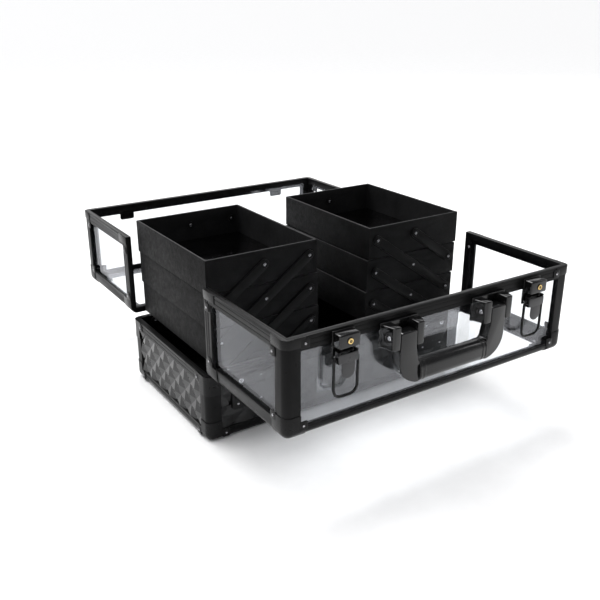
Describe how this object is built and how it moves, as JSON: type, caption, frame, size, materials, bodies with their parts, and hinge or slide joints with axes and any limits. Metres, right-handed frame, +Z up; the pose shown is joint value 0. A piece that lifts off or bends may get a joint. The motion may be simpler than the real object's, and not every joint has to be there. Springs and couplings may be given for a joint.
{
  "type": "makeup train case",
  "caption": "Portable makeup train case with clear half-lids on both long sides, cantilever trays, a carrying handle, over-centre latches and clasp hinges.",
  "frame": {"origin": "middle of the underside, on the surface that the case stands on", "axes": "+X along the case towards its right end, -Y towards the front with the handle's half-lid, +Z up"},
  "size_m": [0.3844, 0.5677, 0.215],
  "materials": {
    "black_aluminium": "satin black anodised",
    "hardware": "semi-gloss black",
    "diamond_sheet": "glossy black with pressed diamonds",
    "clear_acrylic": "clear, polished",
    "lining": "matt black lining on board",
    "grained_board": "black leather-grain laminate on board",
    "arm_steel": "black painted steel, bright rivets",
    "wire": "black painted wire",
    "handle_plastic": "glossy black",
    "grip_plastic": "black, soft gloss"
  },
  "bodies": {
    "base": {"base_frame": "black_aluminium", "base_tub": "lining", "front_diamond_panel": "diamond_sheet", "back_diamond_panel": "diamond_sheet", "left_diamond_panel": "diamond_sheet", "right_diamond_panel": "diamond_sheet", "left_clasp_base_plate": "hardware", "right_clasp_base_plate": "hardware", "left_back_hinge_base_leaf": "hardware", "right_back_hinge_base_leaf": "hardware"},
    "front_lid": {"front_lid_frame": "black_aluminium", "front_lid_face_panel": "clear_acrylic", "front_lid_top_panel": "clear_acrylic", "front_lid_left_end_panel": "clear_acrylic", "front_lid_right_end_panel": "clear_acrylic", "left_clasp_lid_leaf": "hardware", "right_clasp_lid_leaf": "hardware", "left_handle_bracket": "handle_plastic", "right_handle_bracket": "handle_plastic", "left_latch_body": "hardware", "right_latch_body": "hardware"},
    "back_lid": {"back_lid_frame": "black_aluminium", "back_lid_face_panel": "clear_acrylic", "back_lid_top_panel": "clear_acrylic", "back_lid_left_end_panel": "clear_acrylic", "back_lid_right_end_panel": "clear_acrylic", "left_back_hinge_lid_leaf": "hardware", "right_back_hinge_lid_leaf": "hardware", "left_latch_catch": "hardware", "right_latch_catch": "hardware"},
    "handle": {"handle_bail": "handle_plastic", "handle_grip": "grip_plastic"},
    "left_bottom_tray": {"left_bottom_tray": "grained_board"},
    "left_middle_tray": {"left_middle_tray": "grained_board"},
    "left_top_tray": {"left_top_tray": "grained_board"},
    "left_lower_long_arms": {"left_front_lower_long_arm": "arm_steel", "left_back_lower_long_arm": "arm_steel"},
    "left_lower_short_arms": {"left_front_lower_short_arm": "arm_steel", "left_back_lower_short_arm": "arm_steel"},
    "left_upper_long_arms": {"left_front_upper_long_arm": "arm_steel", "left_back_upper_long_arm": "arm_steel"},
    "left_upper_short_arms": {"left_front_upper_short_arm": "arm_steel", "left_back_upper_short_arm": "arm_steel"},
    "left_latch_lever": {"left_latch_lever": "hardware"},
    "left_latch_loop": {"left_latch_loop": "wire"},
    "left_clasp_lever": {"left_clasp_lever": "hardware"},
    "right_bottom_tray": {"right_bottom_tray": "grained_board"},
    "right_middle_tray": {"right_middle_tray": "grained_board"},
    "right_top_tray": {"right_top_tray": "grained_board"},
    "right_lower_long_arms": {"right_front_lower_long_arm": "arm_steel", "right_back_lower_long_arm": "arm_steel"},
    "right_lower_short_arms": {"right_front_lower_short_arm": "arm_steel", "right_back_lower_short_arm": "arm_steel"},
    "right_upper_long_arms": {"right_front_upper_long_arm": "arm_steel", "right_back_upper_long_arm": "arm_steel"},
    "right_upper_short_arms": {"right_front_upper_short_arm": "arm_steel", "right_back_upper_short_arm": "arm_steel"},
    "right_latch_lever": {"right_latch_lever": "hardware"},
    "right_latch_loop": {"right_latch_loop": "wire"},
    "right_clasp_lever": {"right_clasp_lever": "hardware"}
  },
  "joints": [
    {"name": "front_lid_hinge", "type": "hinge", "parent": "base", "child": "front_lid", "pos_m": [0, -0.108, 0.083], "axis": [1, 0, 0], "range_deg": [-90, 0]},
    {"name": "back_lid_hinge", "type": "hinge", "parent": "base", "child": "back_lid", "pos_m": [0, 0.108, 0.083], "axis": [-1, 0, 0], "range_deg": [-90, 0]},
    {"name": "handle_swing", "type": "hinge", "parent": "front_lid", "child": "handle", "pos_m": [0, -0.28, 0.171], "axis": [1, 0, 0], "range_deg": [-90, 0]},
    {"name": "left_trays_fold", "type": "hinge", "parent": "base", "child": "left_lower_long_arms", "pos_m": [-0.1655, 0, 0.0755], "axis": [0, -1, 0], "range_deg": [0, 78]},
    {"name": "left_lower_short_arms_pivot", "type": "hinge", "parent": "base", "child": "left_lower_short_arms", "pos_m": [-0.1055, 0, 0.0755], "axis": [0, -1, 0], "range_deg": [0, 78]},
    {"name": "left_bottom_tray_pivot", "type": "hinge", "parent": "left_lower_long_arms", "child": "left_bottom_tray", "pos_m": [-0.107, 0, 0.1165], "axis": [0, 1, 0], "range_deg": [0, 78]},
    {"name": "left_middle_tray_pivot", "type": "hinge", "parent": "left_lower_long_arms", "child": "left_middle_tray", "pos_m": [-0.0485, 0, 0.1575], "axis": [0, 1, 0], "range_deg": [0, 78]},
    {"name": "left_upper_long_arms_pivot", "type": "hinge", "parent": "left_middle_tray", "child": "left_upper_long_arms", "pos_m": [-0.1085, 0, 0.1575], "axis": [0, -1, 0], "range_deg": [0, 78]},
    {"name": "left_upper_short_arms_pivot", "type": "hinge", "parent": "left_middle_tray", "child": "left_upper_short_arms", "pos_m": [-0.1685, 0, 0.1575], "axis": [0, -1, 0], "range_deg": [0, 78]},
    {"name": "left_top_tray_pivot", "type": "hinge", "parent": "left_upper_long_arms", "child": "left_top_tray", "pos_m": [-0.05, 0, 0.1985], "axis": [0, 1, 0], "range_deg": [0, 78]},
    {"name": "left_latch_lever_pivot", "type": "hinge", "parent": "front_lid", "child": "left_latch_lever", "pos_m": [-0.128, -0.2745, 0.168], "axis": [-1, 0, 0], "range_deg": [0, 90]},
    {"name": "left_latch_loop_pivot", "type": "hinge", "parent": "left_latch_lever", "child": "left_latch_loop", "pos_m": [-0.128, -0.2745, 0.1625], "axis": [1, 0, 0], "range_deg": [-180, 0]},
    {"name": "left_clasp_lever_pivot", "type": "hinge", "parent": "base", "child": "left_clasp_lever", "pos_m": [-0.139, -0.108, 0.0625], "axis": [-1, 0, 0], "range_deg": [0, 75]},
    {"name": "right_trays_fold", "type": "hinge", "parent": "base", "child": "right_lower_long_arms", "pos_m": [0.1655, 0, 0.0755], "axis": [0, 1, 0], "range_deg": [0, 78]},
    {"name": "right_lower_short_arms_pivot", "type": "hinge", "parent": "base", "child": "right_lower_short_arms", "pos_m": [0.1055, 0, 0.0755], "axis": [0, 1, 0], "range_deg": [0, 78]},
    {"name": "right_bottom_tray_pivot", "type": "hinge", "parent": "right_lower_long_arms", "child": "right_bottom_tray", "pos_m": [0.107, 0, 0.1165], "axis": [0, -1, 0], "range_deg": [0, 78]},
    {"name": "right_middle_tray_pivot", "type": "hinge", "parent": "right_lower_long_arms", "child": "right_middle_tray", "pos_m": [0.0485, 0, 0.1575], "axis": [0, -1, 0], "range_deg": [0, 78]},
    {"name": "right_upper_long_arms_pivot", "type": "hinge", "parent": "right_middle_tray", "child": "right_upper_long_arms", "pos_m": [0.1085, 0, 0.1575], "axis": [0, 1, 0], "range_deg": [0, 78]},
    {"name": "right_upper_short_arms_pivot", "type": "hinge", "parent": "right_middle_tray", "child": "right_upper_short_arms", "pos_m": [0.1685, 0, 0.1575], "axis": [0, 1, 0], "range_deg": [0, 78]},
    {"name": "right_top_tray_pivot", "type": "hinge", "parent": "right_upper_long_arms", "child": "right_top_tray", "pos_m": [0.05, 0, 0.1985], "axis": [0, -1, 0], "range_deg": [0, 78]},
    {"name": "right_latch_lever_pivot", "type": "hinge", "parent": "front_lid", "child": "right_latch_lever", "pos_m": [0.128, -0.2745, 0.168], "axis": [-1, 0, 0], "range_deg": [0, 90]},
    {"name": "right_latch_loop_pivot", "type": "hinge", "parent": "right_latch_lever", "child": "right_latch_loop", "pos_m": [0.128, -0.2745, 0.1625], "axis": [1, 0, 0], "range_deg": [-180, 0]},
    {"name": "right_clasp_lever_pivot", "type": "hinge", "parent": "base", "child": "right_clasp_lever", "pos_m": [0.139, -0.108, 0.0625], "axis": [-1, 0, 0], "range_deg": [0, 75]}
  ],
  "couplings": [
    {"joint": "left_lower_short_arms_pivot", "follows": "left_trays_fold", "ratio": 1},
    {"joint": "left_bottom_tray_pivot", "follows": "left_trays_fold", "ratio": 1},
    {"joint": "left_middle_tray_pivot", "follows": "left_trays_fold", "ratio": 1},
    {"joint": "left_upper_long_arms_pivot", "follows": "left_trays_fold", "ratio": 1},
    {"joint": "left_upper_short_arms_pivot", "follows": "left_trays_fold", "ratio": 1},
    {"joint": "left_top_tray_pivot", "follows": "left_trays_fold", "ratio": 1},
    {"joint": "right_lower_short_arms_pivot", "follows": "right_trays_fold", "ratio": 1},
    {"joint": "right_bottom_tray_pivot", "follows": "right_trays_fold", "ratio": 1},
    {"joint": "right_middle_tray_pivot", "follows": "right_trays_fold", "ratio": 1},
    {"joint": "right_upper_long_arms_pivot", "follows": "right_trays_fold", "ratio": 1},
    {"joint": "right_upper_short_arms_pivot", "follows": "right_trays_fold", "ratio": 1},
    {"joint": "right_top_tray_pivot", "follows": "right_trays_fold", "ratio": 1}
  ]
}
